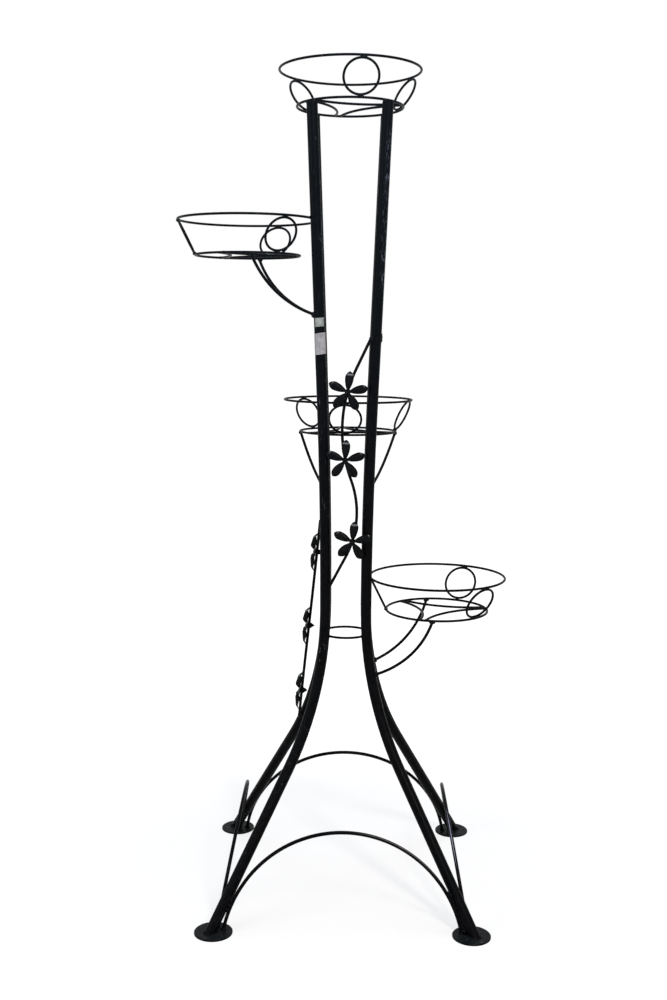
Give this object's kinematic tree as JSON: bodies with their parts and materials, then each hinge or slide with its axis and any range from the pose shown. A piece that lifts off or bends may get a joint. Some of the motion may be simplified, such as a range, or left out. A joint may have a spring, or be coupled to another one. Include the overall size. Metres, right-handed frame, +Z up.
{
  "type": "plant stand",
  "caption": "Tall welded plant stand: bent tube posts on round foot plates carry open wire baskets at staggered heights, with arched ties and flower sprays.",
  "frame": {"origin": "middle of the bounding box's underside, on the floor", "axes": "+Z up along the posts, -Y towards the front, the side with the taller flower spray, +X to the right as seen from the front"},
  "size_m": [0.5576, 0.516, 1.3815],
  "materials": {
    "black_paint": "semi-gloss black paint on welded steel",
    "sticker_paper": "matte coated paper"
  },
  "bodies": {
    "root": {"arch_front": "black_paint", "arch_left": "black_paint", "arch_rear": "black_paint", "arch_right": "black_paint", "foot_plate_front_left": "black_paint", "foot_plate_front_right": "black_paint", "foot_plate_rear_left": "black_paint", "foot_plate_rear_right": "black_paint", "front_flower_1": "black_paint", "front_flower_2": "black_paint", "front_flower_3": "black_paint", "front_stem": "black_paint", "left_base_arc_1": "black_paint", "left_base_arc_2": "black_paint", "left_base_arc_3": "black_paint", "left_base_ring": "black_paint", "left_circle_1": "black_paint", "left_circle_2": "black_paint", "left_circle_3": "black_paint", "left_flower_1": "black_paint", "left_flower_2": "black_paint", "left_flower_3": "black_paint", "left_rim": "black_paint", "left_stem": "black_paint", "left_strut_front": "black_paint", "left_strut_rear": "black_paint", "post_front_left": "black_paint", "post_front_right": "black_paint", "post_rear_left": "black_paint", "post_rear_right": "black_paint", "rear_base_arc_1": "black_paint", "rear_base_arc_2": "black_paint", "rear_base_arc_3": "black_paint", "rear_base_ring": "black_paint", "rear_circle_1": "black_paint", "rear_circle_2": "black_paint", "rear_circle_3": "black_paint", "rear_rim": "black_paint", "rear_strut_left": "black_paint", "rear_strut_right": "black_paint", "right_base_arc_1": "black_paint", "right_base_arc_2": "black_paint", "right_base_arc_3": "black_paint", "right_base_ring": "black_paint", "right_circle_1": "black_paint", "right_circle_2": "black_paint", "right_circle_3": "black_paint", "right_rim": "black_paint", "right_strut_front": "black_paint", "right_strut_rear": "black_paint", "top_base_arc_1": "black_paint", "top_base_arc_2": "black_paint", "top_base_arc_3": "black_paint", "top_base_ring": "black_paint", "top_circle_1": "black_paint", "top_circle_2": "black_paint", "top_circle_3": "black_paint", "top_rim": "black_paint", "waist_ring": "black_paint"}
  },
  "joints": []
}
